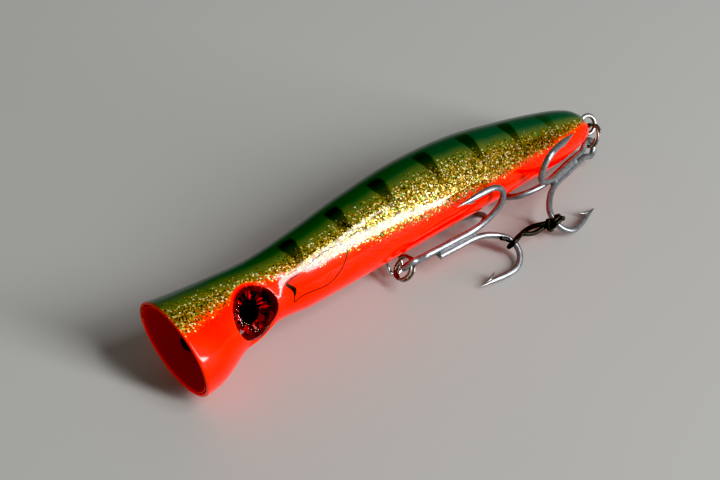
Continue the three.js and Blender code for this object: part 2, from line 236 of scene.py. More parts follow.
def store(mesh, name, values):
    """Keeps a number or a vector for each point on the mesh, where its material reads it."""
    values = np.asarray(values, np.float32)
    kind, field = ("FLOAT", "value") if values.ndim == 1 else ("FLOAT_VECTOR", "vector")
    mesh.attributes.new(name, kind, "POINT").data.foreach_set(field, values.ravel())


def unit(vector):
    return vector / np.linalg.norm(vector)


def cubic(t, start, end, start_slope, end_slope):
    """A cubic curve from start to end with these slopes, as t goes from 0 to 1."""
    return ((2 * t**3 - 3 * t**2 + 1) * start + (t**3 - 2 * t**2 + t) * start_slope
            + (3 * t**2 - 2 * t**3) * end + (t**3 - t**2) * end_slope)


def travelled_along(path):
    return np.r_[0, np.cumsum(np.linalg.norm(np.diff(path, axis=0), axis=1))]


def spline(points, spacing=0.3):
    """Points a set distance apart on the centripetal Catmull-Rom curve that the CAD tubes follow."""
    p = np.array(points, float)
    p = np.vstack([2 * p[0] - p[1], p, 2 * p[-1] - p[-2]])
    t = np.linspace(0, 1, 24, endpoint=False)[:, None]
    dense = []
    for p0, p1, p2, p3 in zip(p[:-3], p[1:-2], p[2:-1], p[3:]):
        d0, d1, d2 = (max(np.linalg.norm(b - a), 1e-4) ** 0.5 for a, b in ((p0, p1), (p1, p2), (p2, p3)))
        slope1 = ((p1 - p0) / d0 - (p2 - p0) / (d0 + d1) + (p2 - p1) / d1) * d1
        slope2 = ((p2 - p1) / d1 - (p3 - p1) / (d1 + d2) + (p3 - p2) / d2) * d1
        dense.append(cubic(t, p1, p2, slope1, slope2))
    dense = np.vstack(dense + [p[-2:-1]])
    travelled = travelled_along(dense)
    wanted = np.linspace(0, travelled[-1], max(3, round(travelled[-1] / spacing) + 1))
    return np.stack([np.interp(wanted, travelled, dense[:, i]) for i in range(3)], 1)


def arc(centre_x, centre_y, radius, start, end, count):
    """Points on a flat arc between two angles in degrees."""
    angles = np.radians(np.linspace(start, end, count))
    return [(centre_x + radius * math.cos(a), centre_y + radius * math.sin(a)) for a in angles]


def sweep(path, radius, sides=16, up=(0, 0, 1)):
    """A closed tube along the path with flattened round ends; radius is one number or one for each point."""
    path = np.array(path, float)
    radii = np.broadcast_to(radius, len(path)).astype(float)
    end_turns, end_length = np.radians([30, 58, 80]), 0.6
    ends = []
    for last, before, r in ((path[0], path[1], radii[0]), (path[-1], path[-2], radii[-1])):
        outward = unit(last - before)
        ends.append([(last + outward * r * end_length * math.sin(a), r * math.cos(a)) for a in end_turns])
    head, foot = ends[0][::-1], ends[1]
    path = np.vstack([[at for at, _ in head], path, [at for at, _ in foot]])
    radii = np.r_[[r for _, r in head], radii, [r for _, r in foot]]
    tangents = np.gradient(path, axis=0)
    tangents /= np.linalg.norm(tangents, axis=1)[:, None]
    side = np.cross(tangents[0], up)
    if np.linalg.norm(side) < 0.1:
        side = np.cross(tangents[0], (1, 0, 0))
    vertices = []
    turns = np.linspace(0, 2 * math.pi, sides, endpoint=False)
    for point, tangent, r in zip(path, tangents, radii):
        side = side - tangent * (side @ tangent)
        side /= np.linalg.norm(side)
        over = np.cross(side, tangent)
        vertices += [point + r * (math.cos(t) * side + math.sin(t) * over) for t in turns]
    count = len(path)
    faces = []
    for i in range(count - 1):
        for j in range(sides):
            a, b = i * sides + j, i * sides + (j + 1) % sides
            faces.append((a, b, b + sides, a + sides))
    faces.append(tuple(range(sides - 1, -1, -1)))
    faces.append(tuple(range((count - 1) * sides, count * sides)))
    return np.array(vertices), faces


def turned(profile, segments, axis="x"):
    """A form turned about the x or y axis from [along, radius] points; a radius of 0 makes a pole."""
    vertices, faces, rings = [], [], []
    for along, radius in profile:
        if radius < 1e-6:
            rings.append([len(vertices)])
            vertices.append((along, 0, 0))
            continue
        rings.append(list(range(len(vertices), len(vertices) + segments)))
        for k in range(segments):
            a = 2 * math.pi * k / segments
            vertices.append((along, radius * math.cos(a), radius * math.sin(a)))
    for low, high in zip(rings[:-1], rings[1:]):
        if len(low) == len(high) == 1:
            continue
        for k in range(segments):
            nxt = (k + 1) % segments
            if len(low) == 1:
                faces.append((low[0], high[nxt], high[k]))
            elif len(high) == 1:
                faces.append((low[k], low[nxt], high[0]))
            else:
                faces.append((low[k], low[nxt], high[nxt], high[k]))
    vertices = np.array(vertices, float)
    if axis == "y":
        vertices = vertices[:, [1, 0, 2]] * (1, 1, -1)
    return vertices, faces


def joined(*forms):
    """Several forms as the vertices and faces of one."""
    vertices, faces, offset = [], [], 0
    for v, f in forms:
        vertices.append(np.array(v))
        faces += [tuple(i + offset for i in face) for face in f]
        offset += len(v)
    return np.vstack(vertices), faces


# ---- materials
def wire_material(name, colour, dark, roughness, grime=0.35, metallic=1.0, dark_front=False):
    """Wire with fine drawing marks and tarnish in patches, darkened to a dull dark red that is not metal
    where the mesh says, towards its front.
    """
    material, tree, shader = new_material(name)
    patches = smoothstep(tree, noise(tree, 700, 4, 0.6), 0.42, 0.7)
    fine = noise(tree, 5200, 2, 0.6)
    tint = mix(tree, product(tree, patches, grime), colour, dark)
    tint = mix(tree, product(tree, fine, 0.18), tint, dark)
    if dark_front:
        # Dull dark red, not metal, towards the front of the wire
        front_darkening = product(tree, carried(tree, "front_darkening"), smoothstep(tree, fine, 0.2, 0.5, 0.8, 1.0))
        tint = mix(tree, front_darkening, tint, srgb(52, 6, 6))
        metallic = minus(tree, 1.0, front_darkening)
    rough = node(tree, "MapRange", fine, 0.3, 0.7, roughness * 0.7, roughness * 1.45).outputs[0]
    set_inputs(tree, shader, {
        "Base Color": tint, "Metallic": metallic, "Roughness": rough,
        "Normal": bump(tree, fine, 0.04, 0.00002)})
    return material


def rubber_material():
    material, tree, shader = new_material("elastic_cord")
    strands = noise(tree, 2600, 3, 0.65)
    tint = mix(tree, strands, srgb(3, 3, 4), srgb(20, 20, 21))
    set_inputs(tree, shader, {
        "Base Color": tint, "Roughness": 0.5, "Specular IOR Level": 0.3,
        "Sheen Weight": 0.04, "Normal": bump(tree, strands, 0.6, 0.00012)})
    return material


def cup_material():
    """Dark red paint, orange at the lip, with painted shade that darkens it towards the bottom of the cup,
    and a faint painted red glow.
    """
    material, tree, shader = new_material("cup_paint")
    # The ramp darkens with depth as painted shade inside the bowl
    reds_with_depth_shade = [(0.0, srgb(236, 40, 10)), (0.025, srgb(196, 18, 6)), (0.07, srgb(150, 5, 3)),
            (0.45, srgb(140, 3, 2)), (1.0, srgb(84, 0, 1))]
    mottle = product(tree, noise(tree, 420, 4, 0.6), 0.35)
    red = mix(tree, mottle, ramp(tree, carried(tree, "depth"), reds_with_depth_shade), srgb(70, 4, 4))
    # The emission is a painted red glow in the cup
    set_inputs(tree, shader, {
        "Base Color": red, "Roughness": 0.38, "Specular IOR Level": 0.1,
        "Coat Weight": 0.2, "Coat Roughness": 0.1,
        "Emission Color": srgb(150, 4, 2), "Emission Strength": 0.2,
        "Normal": bump(tree, noise(tree, 900, 3, 0.5), 0.1, 0.0001)})
    return material


# The foil's mesh carries the vector spoke: a point on a circle of SPOKE_SPREAD, and the distance from the
# middle times SPOKE_STRETCH, so that the pattern's cells are long from the middle outwards.
SPOKE_SPREAD, SPOKE_STRETCH = 6.4, 0.5
FOIL_BLACK_TO, FOIL_FULL_FROM = 3.25, 3.6


def foil_material():
    """Near-black maroon foil in radial facets, some of them crimson."""
    material, tree, shader = new_material("eye_foil")
    where = carried(tree, "spoke", "Vector")
    pick, lean, shade = cells(tree, where, 1)
    outward = node(tree, "SeparateXYZ", where).outputs[2]
    tones = [(0.0, srgb(34, 0, 6)), (0.36, srgb(64, 1, 12)), (0.6, srgb(120, 2, 20)),
             (0.76, srgb(226, 10, 36)), (0.94, srgb(245, 50, 62))]
    tone = mix(tree, product(tree, shade, 0.4), ramp(tree, pick, tones, "CONSTANT"), srgb(24, 1, 6))
    clear = smoothstep(tree, outward, FOIL_BLACK_TO * SPOKE_STRETCH, FOIL_FULL_FROM * SPOKE_STRETCH)
    set_inputs(tree, shader, {
        "Base Color": mix(tree, clear, srgb(3, 1, 2), tone), "Roughness": 0.6,
        "Specular IOR Level": 0.03, "Normal": bump(tree, lean, 0.4, 0.0003)})
    return material


def pupil_material():
    material, tree, shader = new_material("pupil_ink")
    tint = mix(tree, noise(tree, 3000), srgb(0, 0, 0), srgb(5, 3, 4))
    set_inputs(tree, shader, {"Base Color": tint, "Roughness": 0.8, "Specular IOR Level": 0.05})
    return material


def lens_material():
    """Clear resin: a thin dark veil with a glossy coat. Its own specular is off, as the underside's would lie
    over the foil as grey."""
    material, tree, shader = new_material("eye_lens")
    scuffs = smoothstep(tree, noise(tree, 2600, 5, 0.7), 0.62, 0.8, 0.03, 0.06)
    set_inputs(tree, shader, {
        "Base Color": (0.012, 0.001, 0.002, 1), "Alpha": 0.13, "IOR": 1.5,
        "Roughness": scuffs, "Specular IOR Level": 0,
        "Coat Weight": 0.35, "Coat IOR": 1.5, "Coat Roughness": 0.03})
    return material


# ---- the body's paint
# The body's mesh carries three vectors for its paint:
# paint: bars counted from the head, degrees above the flank's middle, degrees above the edge of the gold
# flank: mm from the lip, mm round the flank from its middle, mm from the eye's axis
# gill: mm outside the gill cover's outline, mm outside its crescent, mm from the middle of the socket's
# painted shade
def ground_coat(tree, soft, grain, ragged, up, up_ragged):
    """Fluorescent belly, then gold that reddens below and to the tail, olive, and the green back."""
    along = measured(tree, "flank")[0]
    belly = mix(tree, soft, srgb(255, 12, 0), srgb(255, 38, 0))
    gold = mix(tree, grain, srgb(84, 64, 14), srgb(156, 118, 40))
    gold = mix(tree, smoothstep(tree, along, 96, 150, 0.0, 0.75), gold, srgb(128, 48, 6))
    gold = mix(tree, smoothstep(tree, ragged, 20, -2, 0.0, 0.55), gold, srgb(214, 84, 8))
    olive = mix(tree, soft, srgb(104, 106, 46), srgb(78, 96, 42))
    green = mix(tree, soft, srgb(18, 60, 42), srgb(20, 72, 50))
    colour = mix(tree, smoothstep(tree, ragged, -12, 8), belly, gold)
    colour = mix(tree, smoothstep(tree, up_ragged, 20, 46), colour, olive)
    return mix(tree, smoothstep(tree, up, 38, 68), colour, green)


def foil_flecks(tree, edge, up, eye_clear):
    """How thickly flecks of foil lie, where they show, and each one's tone and tilt; a fleck is one cell."""
    pick, tone, tilt = cells(tree, node(tree, "TexCoord").outputs["Object"], 2500)
    amount = product(tree, smoothstep(tree, edge, -14, 8), smoothstep(tree, up, 24, 58, 1.0, 0.0))
    shown = smoothstep(tree, minus(tree, product(tree, amount, 0.8), pick), 0.0, 0.03)
    tones = [(0.0, srgb(44, 36, 8)), (0.22, srgb(92, 72, 16)), (0.46, srgb(160, 126, 42)),
             (0.68, srgb(226, 192, 92)), (0.84, srgb(255, 244, 190)), (0.93, srgb(96, 160, 72))]
    return amount, product(tree, shown, eye_clear), ramp(tree, tone, tones, "CONSTANT"), tilt


def dark_bars(tree, grain):
    """Seven dark bars that taper down from the back, thin enough for the flecks to show through."""
    bar, height, _ = measured(tree, "paint")
    from_bar = maths(tree, "FRACT", plus(tree, bar, 0.5))
    from_bar = maths(tree, "ABSOLUTE", minus(tree, from_bar, 0.5))
    from_bar = plus(tree, from_bar, scaled(tree, grain, 0.06, -0.03))
    half_width = node(tree, "MapRange", height, 8, 60, 0.022, 0.15).outputs[0]
    bars = smoothstep(tree, minus(tree, half_width, from_bar), -0.015, 0.025)
    top = scaled(tree, from_bar, 26.0, scaled(tree, grain, 9.0, height))
    return product(tree, bars, smoothstep(tree, height, -12, 44, 0.0, 0.74),
                   smoothstep(tree, top, 77, 85, 1.0, 0.0),
                   smoothstep(tree, bar, 0.4, 0.5), smoothstep(tree, bar, 6.5, 7.6, 1.0, 0.0))


def scale_net(tree, soft):
    """A faint net of scales low on the flank, from crossed slanting lines."""
    height, above = measured(tree, "paint")[1:]
    along, rise, _ = measured(tree, "flank")
    lattice = []
    for slant in (1.15, -1.15):
        line = plus(tree, scaled(tree, rise, slant, along), product(tree, soft, 1.4))
        line = maths(tree, "FRACT", product(tree, line, 0.36))
        lattice.append(maths(tree, "ABSOLUTE", minus(tree, line, 0.5)))
    lines = smoothstep(tree, maths(tree, "MINIMUM", *lattice), 0.02, 0.09, 0.6, 0.0)
    return product(tree, lines, smoothstep(tree, along, 57, 66), smoothstep(tree, along, 108, 122, 1.0, 0.0),
                   smoothstep(tree, height, -34, -22), smoothstep(tree, above, 1, -5))


def gill_cover(tree):
    """A plain gill cover: a thin outline with a dark crescent at its front."""
    outline, crescent, _ = measured(tree, "gill")
    stroke = smoothstep(tree, maths(tree, "ABSOLUTE", outline), 0.14, 0.38, 0.9, 0.0)
    return maths(tree, "MAXIMUM", stroke, smoothstep(tree, crescent, -0.1, 0.2, 1.0, 0.0))


def paint_material():
    material, tree, shader = new_material("body_paint")
    height, above = measured(tree, "paint")[1:]
    along, _, eye_distance = measured(tree, "flank")
    painted_shade_distance = measured(tree, "gill")[2]
    soft, grain = noise(tree, 160, 3, 0.6), noise(tree, 1700, 3, 0.65)
    wobble = scaled(tree, soft, 10.0, -5.0)
    speckle = scaled(tree, grain, 34.0, -17.0)
    edge = plus(tree, above, wobble)
    ragged = plus(tree, edge, speckle)
    # The green starts higher on the head and lower towards the tail
    up = plus(tree, height, wobble)
    up = minus(tree, up, smoothstep(tree, along, 44, 4, 0.0, 19.0))
    up = plus(tree, up, smoothstep(tree, along, 70, 150, 0.0, 17.0))
    up_ragged = plus(tree, up, speckle)

    eye_clear = smoothstep(tree, eye_distance, 8.1, 8.9)
    amount, shown, foil, tilt = foil_flecks(tree, edge, up, eye_clear)
    colour = mix(tree, shown, ground_coat(tree, soft, grain, ragged, up, up_ragged), foil)
    tail_shade = product(tree, amount, smoothstep(tree, along, 84, 146, 0.0, 0.6))
    colour = mix(tree, tail_shade, colour, srgb(62, 36, 8))
    colour = mix(tree, dark_bars(tree, grain), colour, srgb(12, 18, 8))
    colour = mix(tree, scale_net(tree, soft), colour, srgb(52, 5, 0))
    colour = mix(tree, gill_cover(tree), colour, srgb(14, 4, 3))

    # The eye socket is bare fluorescent paint, with painted shade in dark maroon down in the recess, and the
    # lip's edge is bare too
    socket = mix(tree, smoothstep(tree, painted_shade_distance, 7.5, 8.3), srgb(88, 3, 10), srgb(250, 34, 3))
    colour = mix(tree, eye_clear, socket, colour)
    past_lip = smoothstep(tree, plus(tree, along, grain), 0.55, 1.1)
    colour = mix(tree, past_lip, srgb(250, 42, 8), colour)

    # The flecks are metal and tilted; the paint between them isn't, and where it's fluorescent it is given a
    # painted glow
    shown = product(tree, shown, past_lip)
    painted_glow = mix(tree, smoothstep(tree, ragged, -7, 9), colour, (0, 0, 0, 1))
    set_inputs(tree, shader, {
        "Base Color": colour, "Metallic": product(tree, shown, 0.4),
        "Roughness": node(tree, "MapRange", shown, 0.0, 1.0, 0.45, 0.28).outputs[0],
        "Normal": bump(tree, product(tree, shown, tilt), 0.5, 0.00025),
        "Specular IOR Level": 0.1, "Emission Color": painted_glow, "Emission Strength": 0.2,
        "Coat Weight": 1, "Coat Roughness": 0.08, "Coat IOR": 1.31,
        "Coat Normal": bump(tree, noise(tree, 210, 2, 0.4), 0.04, 0.0004)})
    return material


PAINT = paint_material()
CUP = cup_material()
FOIL = foil_material()
INK = pupil_material()
LENS = lens_material()
BRIGHT = wire_material("bright_steel", srgb(214, 214, 212), srgb(120, 118, 116), 0.2)
THROUGH = wire_material("through_wire_steel", srgb(188, 188, 186), srgb(110, 108, 106), 0.34, dark_front=True)
DARK = wire_material("dark_nickel", srgb(158, 152, 146), srgb(66, 58, 56), 0.3, 0.5)
TIN = wire_material("tinned_steel", srgb(160, 163, 168), srgb(84, 87, 92), 0.34, 0.5, metallic=0.88)
SOLDER = wire_material("hook_braze", srgb(126, 130, 134), srgb(66, 70, 74), 0.62, 0.6, metallic=0.6)
RUBBER = rubber_material()

# ---- body
LENGTH = 158.8
BACK = [(0, RIM_RADIUS), (8, 14.7), (19, 13.5), (32, 12.6), (48, 13.8), (67, 16), (88, 17.2), (109, 15.8),
        (128, 11.9), (144, 7.7), (152, 4.8), (156, 2), (158, -1.2), (LENGTH, -4)]
BELLY = [(0, -RIM_RADIUS), (8, -14.9), (19, -10.4), (32, -7.9), (43, -8.9), (80, -9.3), (120, -9.8),
         (140, -9.9), (150, -8.9), (156, -7.5), (LENGTH, -6)]
FLANK_RATIO, RAKE, RAKE_REACH = 0.94, -0.077, 24
LIP_ROUND, LIP_WALL = 0.6, 1.2
SEAM = 0.03
# At distances from the lip: where the gold ends below, in degrees above the flank's middle, and the dark bars
GOLD_EDGE = [(0, 33), (12, 36), (24, 37), (32, 32), (40, 22), (52, 12), (67, 1), (85, -8), (101, -9),
             (117, -7), (133, 0), (148, 11), (LENGTH, 24)]
BARS = [(24, 0), (42.6, 1), (59.8, 2), (76, 3), (94, 4), (110.4, 5), (126, 6), (141, 7), (157, 8)]
# The gill cover's outline and the crescent at its front, in mm from the lip and degrees round the flank
GILL = [(35.6, 9), (42, 16), (49, 21), (54.5, 19), (56.8, 10), (55.4, -3), (52.5, -16), (49, -25),
        (46, -26.5), (41.5, -22.5), (38.3, -23.5), (36.2, -28.5), (36.5, -16), (36.9, -4)]
CRESCENT = [(35.1, 9), (36.7, 2), (37.6, -5), (37.4, -12), (36.4, -19), (36.4, -9), (35.9, -2), (35.2, 4)]
# A degree round the flank in mm, at the flank's usual radius
FLANK_RADIUS = 12
DEGREE = math.radians(1) * FLANK_RADIUS

EYE_X, EYE_Z, EYE_SEAT, EYE_TILT = 22.65, 1.15, 6.7, math.radians(6.8)
EYE_RADIUS, DOME_BASE, DOME_HEIGHT = 7.1, 0.9, 2.1
PUPIL_RADIUS, PUPIL_BASE, PUPIL_TOP = 2.6, 0.9, 1.4
# The socket's painted shade reaches a little further to the tail and the belly
PAINTED_SHADE_OFFSET = (0.25, 0, -0.6)
# The socket's radius, how far around it the mesh lines are drawn together, and its floor
SOCKET_EDGE, SOCKET_REACH, SOCKET_FLOOR = 7.5, 1.7, -0.1
# How far its rim stands above the skin, the lowest skin it is raised from, and how far out it fades
RIM_RISE, RIM_LOWEST, RIM_REACH = 0.12, 0.5, 3.6


def profile_at(stations, x):
    """The CAD's outline: cubic pieces, with each station's slope that of the line through its neighbours."""
    xs, ys = np.array(stations, float).T
    slopes = np.empty(len(xs))
    slopes[1:-1] = (ys[2:] - ys[:-2]) / (xs[2:] - xs[:-2])
    slopes[0] = (3 * (ys[1] - ys[0]) / (xs[1] - xs[0]) - slopes[1]) / 2
    slopes[-1] = (3 * (ys[-1] - ys[-2]) / (xs[-1] - xs[-2]) - slopes[-2]) / 2
    x = np.clip(x, xs[0], xs[-1])
    i = np.clip(np.searchsorted(xs, x, side="right") - 1, 0, len(xs) - 2)
    step = xs[i + 1] - xs[i]
    return cubic((x - xs[i]) / step, ys[i], ys[i + 1], step * slopes[i], step * slopes[i + 1])


def ease(x, low, high):
    t = np.clip((x - low) / (high - low), 0, 1)
    return t * t * (3 - 2 * t)


def half_height(x):
    return (profile_at(BACK, x) - profile_at(BELLY, x)) / 2


def middle(x):
    return (profile_at(BACK, x) + profile_at(BELLY, x)) / 2


def flank_ratio(x):
    return 1 - (1 - FLANK_RATIO) * ease(x, 0, 19)


def raked(p):
    """Leans the mouth back, as the CAD does."""
    p = np.array(p, float)
    p[..., 0] += RAKE * p[..., 2] * np.maximum(0, 1 - p[..., 0] / RAKE_REACH)
    return p


def eye_axis(side):
    axis = np.array([math.sin(EYE_TILT), side * math.cos(EYE_TILT), 0])
    return axis, np.array([EYE_X, side * EYE_SEAT, EYE_Z])


def from_eye(p, side):
    """The height of points above the eye's seat along its axis, and their offset from the axis."""
    axis, centre = eye_axis(side)
    height = (p - centre) @ axis
    return height, p - centre - height[..., None] * axis


def with_socket(p, side):
    """Sinks a seat for the eye into the flank, its rim slightly raised and rounded."""
    axis, centre = eye_axis(side)
    height, radial = from_eye(p, side)
    out = np.linalg.norm(radial, axis=-1)
    # Draw the mesh lines together at the socket's edge
    t = np.clip((out - SOCKET_EDGE) / SOCKET_REACH, -1, 1)
    drawn = np.where(np.abs(t) < 1, SOCKET_EDGE + SOCKET_REACH * (0.2 * t + 0.8 * t**3), out)
    rim = np.maximum(height, RIM_LOWEST) + RIM_RISE
    wall_top = SOCKET_EDGE + 0.25
    wall = ease(drawn, SOCKET_EDGE - 0.3, wall_top)
    rim_fades = ease(drawn, SOCKET_EDGE + 0.3, SOCKET_EDGE + RIM_REACH)
    target = np.where(drawn < wall_top, SOCKET_FLOOR + (rim - SOCKET_FLOOR) * wall,
                      height + (rim - height) * (1 - rim_fades))
    near = (out < SOCKET_EDGE + RIM_REACH) & (height > -5)
    moved = centre + radial * (drawn / np.maximum(out, 1e-6))[..., None] + target[..., None] * axis
    return np.where(near[..., None], moved, p)


# Half of the skin is a grid: rows from inside the lip to the tail's pole, columns from the belly to the back
SKIN_ANGLES = [*np.arange(-90, -76, 2.8), *np.arange(-76, 66, 1.6), *np.arange(66, 88, 2.2), 90]
TAIL_POLE = [(0.12, 0.8), (0.22, 0.45), (0.25, 0.0)]
WALL, EDGE_WALL, POLE_WALL, WALL_ROWS = 1.4, 0.25, 0.3, 12


def skin_rows():
    """Each row's distance from the lip, inset and scale, and how many rows go round the lip."""
    lip = [(x, -LIP_WALL) for x in (3.0, 1.8, 1.0)]
    for degrees in range(90, -91, -15):
        a = math.radians(degrees)
        lip.append((LIP_ROUND * (1 - math.cos(a)), -LIP_ROUND - LIP_ROUND * math.sin(a)))
    flank = [*np.arange(1.0, 12, 0.75), *np.arange(12, 38, 0.3), *np.arange(38, 60, 0.5),
             *np.arange(60, 148, 1.0), *np.arange(148, LENGTH, 0.4), LENGTH]
    stations = np.array([x for x, _ in lip] + flank + [LENGTH + past for past, _ in TAIL_POLE])
    inset = np.array([d for _, d in lip] + [0] * (len(flank) + len(TAIL_POLE)))
    scale = np.array([1] * (len(lip) + len(flank)) + [s for _, s in TAIL_POLE])
    return stations, inset, scale, len(lip)


def inner_face(outer, centre, lip_rows, side):
    """The outer face moved in by the wall's thickness, which is less at the lip's edge and at the pole."""
    normal = np.cross(np.gradient(outer, axis=0), np.gradient(outer, axis=1)) * -side
    length = np.linalg.norm(normal, axis=-1, keepdims=True)
    normal = np.where(length > 1e-9, normal / np.maximum(length, 1e-9), (1.0, 0, 0))
    outwards = np.sign((normal * (outer - centre)).sum(-1, keepdims=True))
    # The skin turns back round the lip, so a row just past it says which way is out there
    outwards[:lip_rows] = outwards[lip_rows + 2]
    rows = len(outer)
    wall = np.interp(np.arange(rows), [0, lip_rows, lip_rows + WALL_ROWS, rows - WALL_ROWS, rows - 1],
                     [EDGE_WALL, EDGE_WALL, WALL, WALL, POLE_WALL])
    inner = outer - normal * outwards * wall[:, None, None]
    inner[..., 1] = side * np.maximum(side * inner[..., 1], SEAM)
    inner[:, 0, 1] = inner[:, -1, 1] = side * SEAM
    return inner


def shell_faces(rows, columns):
    """The faces of an outer and an inner grid, joined along the seam and at the first row."""
    shift = rows * columns
    faces = []
    for i in range(rows - 1):
        for j in range(columns - 1):
            first = i * columns + j
            quad = (first, first + 1, first + columns + 1, first + columns)
            faces.append(quad)
            faces.append(tuple(v + shift for v in quad[::-1]))
        for j, turn in ((0, 1), (columns - 1, -1)):
            first = i * columns + j
            quad = (first, first + columns, first + columns + shift, first + shift)
            faces.append(quad[::turn])
    faces += [(j + 1, j, j + shift, j + 1 + shift) for j in range(columns - 1)]
    return faces


def half_body(side, name, cad_node):
    stations, inset, scale, lip_rows = skin_rows()
    x, a = np.meshgrid(stations, np.radians(SKIN_ANGLES), indexing="ij")
    radius = (half_height(x) + inset[:, None]) * scale[:, None]
    y = side * (flank_ratio(x) * radius * np.cos(a) + SEAM)
    z = middle(x) + radius * np.sin(a)
    outer = with_socket(raked(np.stack([x, y, z], -1)), side)
    inner = inner_face(outer, np.stack([x, 0 * x, middle(x)], -1), lip_rows, side)
    vertices = np.vstack([outer.reshape(-1, 3), inner.reshape(-1, 3)])
    faces = shell_faces(*x.shape)
    if side > 0:
        faces = [f[::-1] for f in faces]
    piece = add_piece(name, (vertices, faces), LURE, PAINT, "lure", [cad_node])
    weld(piece.data)
    add_paint_vectors(piece.data, side)


def weld(mesh):
    """Merges doubled points, such as those at a pole, and turns all faces outwards."""
    work = bmesh.new()
    work.from_mesh(mesh)
    bmesh.ops.remove_doubles(work, verts=work.verts, dist=2e-6)
    bmesh.ops.recalc_face_normals(work, faces=work.faces)
    work.to_mesh(mesh)
    work.free()
    mesh.shade_smooth()
    mesh.set_sharp_from_angle(angle=math.radians(50))


def signed_distance(loop, points):
    """How far each point is outside a closed smooth loop; inside it is below zero."""
    ring = spline(np.array([(*p, 0) for p in (*loop, loop[0])]), 0.4)[:-1, :2]
    ahead = np.roll(ring, -1, 0)
    best = np.full(len(points), 1e9)
    inside = np.zeros(len(points), bool)
    for a, b in zip(ring, ahead):
        run = b - a
        t = np.clip(((points - a) @ run) / (run @ run), 0, 1)
        best = np.minimum(best, np.linalg.norm(points - a - t[:, None] * run, axis=1))
        crosses = (a[1] > points[:, 1]) != (b[1] > points[:, 1])
        at = a[0] + (points[:, 1] - a[1]) / (run[1] if abs(run[1]) > 1e-9 else 1e-9) * run[0]
        inside ^= crosses & (points[:, 0] < at)
    return np.where(inside, -best, best)


def add_paint_vectors(mesh, side):
    """Measures each point for the paint, in the lure's own axes and with the rake of the mouth taken out."""
    co = np.empty(len(mesh.vertices) * 3)
    mesh.vertices.foreach_get("co", co)
    back = np.array((TO_METRES @ LURE).inverted())
    p = co.reshape(-1, 3) @ back[:3, :3].T + back[:3, 3]
    x = (p[:, 0] - RAKE * p[:, 2]) / (1 - RAKE * p[:, 2] / RAKE_REACH)
    x = np.where(p[:, 0] < RAKE_REACH, x, p[:, 0])
    tall = np.maximum(half_height(x), 0.4)
    angle = np.degrees(np.arctan2((p[:, 2] - middle(x)) / tall, np.abs(p[:, 1]) / (tall * flank_ratio(x))))
    rise = angle * DEGREE
    gold_edge, bars = (np.interp(x, *np.array(table, float).T) for table in (GOLD_EDGE, BARS))
    _, radial = from_eye(p, side)
    flat = np.stack([x, rise], 1)
    gill, crescent = (signed_distance([(u, v * DEGREE) for u, v in loop], flat) for loop in (GILL, CRESCENT))
    # Distance from the middle of the painted shade in the eye socket
    painted_shade_distance = np.linalg.norm(radial - PAINTED_SHADE_OFFSET, axis=1)
    store(mesh, "paint", np.stack([bars, angle, angle - gold_edge], 1))
    store(mesh, "flank", np.stack([x, rise, np.linalg.norm(radial, axis=1)], 1))
    store(mesh, "gill", np.stack([gill, crescent, painted_shade_distance], 1))


half_body(-1, "body_skin_left", "body_left")
half_body(1, "body_skin_right", "body_right")

# ---- cup
# [distance from the lip, radius], down the inside of the bowl and back along its outside
CUP_PROFILE = [(0.9, 14.62), (0.45, 14.6), (0.2, 14.45), (0.12, 14.2), (0.3, 13.85), (0.75, 13.4),
               (1.5, 12.95), (2.6, 12.3), (4.2, 11.2), (6.0, 9.75), (7.8, 8.0), (9.2, 6.2), (10.2, 4.4),
               (10.75, 2.6), (10.9, 1.3), (10.95, 0.0), (12.1, 0.0), (12.05, 2.6), (10.5, 6.8), (7.2, 10.6),
               (3.4, 13.0), (2.0, 14.3), (0.9, 14.62)]
CUP_DEPTH = 11


def make_cup():
    vertices, faces = turned(CUP_PROFILE, 112)
    piece = add_piece("cup_bowl", (raked(vertices), faces), LURE, CUP, "lure", ["cup_liner"])
    store(piece.data, "depth", np.clip(vertices[:, 0] / CUP_DEPTH, 0, 1))
    weld(piece.data)
    subdivide = piece.modifiers.new("smooth", "SUBSURF")
    subdivide.levels = subdivide.render_levels = 1


make_cup()

# ---- wires
# Behind the tow loop the through wire is double, and each strand lies STRAND off the middle line
WIRE, STRAND = 0.75, 0.95
TOW_LOOP, TAIL_LOOP = (6.2, 0, 2.6), (159.8, -3.9, 3.0)
# Its dull dark red fades out between these distances from the lip
FRONT_DARKENING_FADE = 13, 16
HANGER_X, HANGER_HALF, HANGER_LOW, HANGER_HIGH, HANGER_TWIST, HANGER_WIRE = 75.1, 2.5, -12.1, 2.3, 1.9, 0.65


def in_centre_plane(points):
    return [(x, 0, z) for x, z in points]


def make_through_wire():
    tow, tail = arc(*TOW_LOOP, -50, -310, 9), arc(*TAIL_LOOP, 140, -140, 9)
    path = in_centre_plane([(28, -STRAND), (14, -STRAND), *tow, (14, STRAND), (40, 0.8), (80, 0), (128, -1.4),
                            (151, -2.7), *tail, (151, -4.7), (130, -3.8)])
    form = sweep(spline(path, 0.35), WIRE, 18, up=(0, 1, 0))
    wire = add_piece("through_wire_smooth", form, LURE, THROUGH, "lure",
                     ["through_wire"])
    store(wire.data, "front_darkening", 1 - ease(form[0][:, 0], *FRONT_DARKENING_FADE))


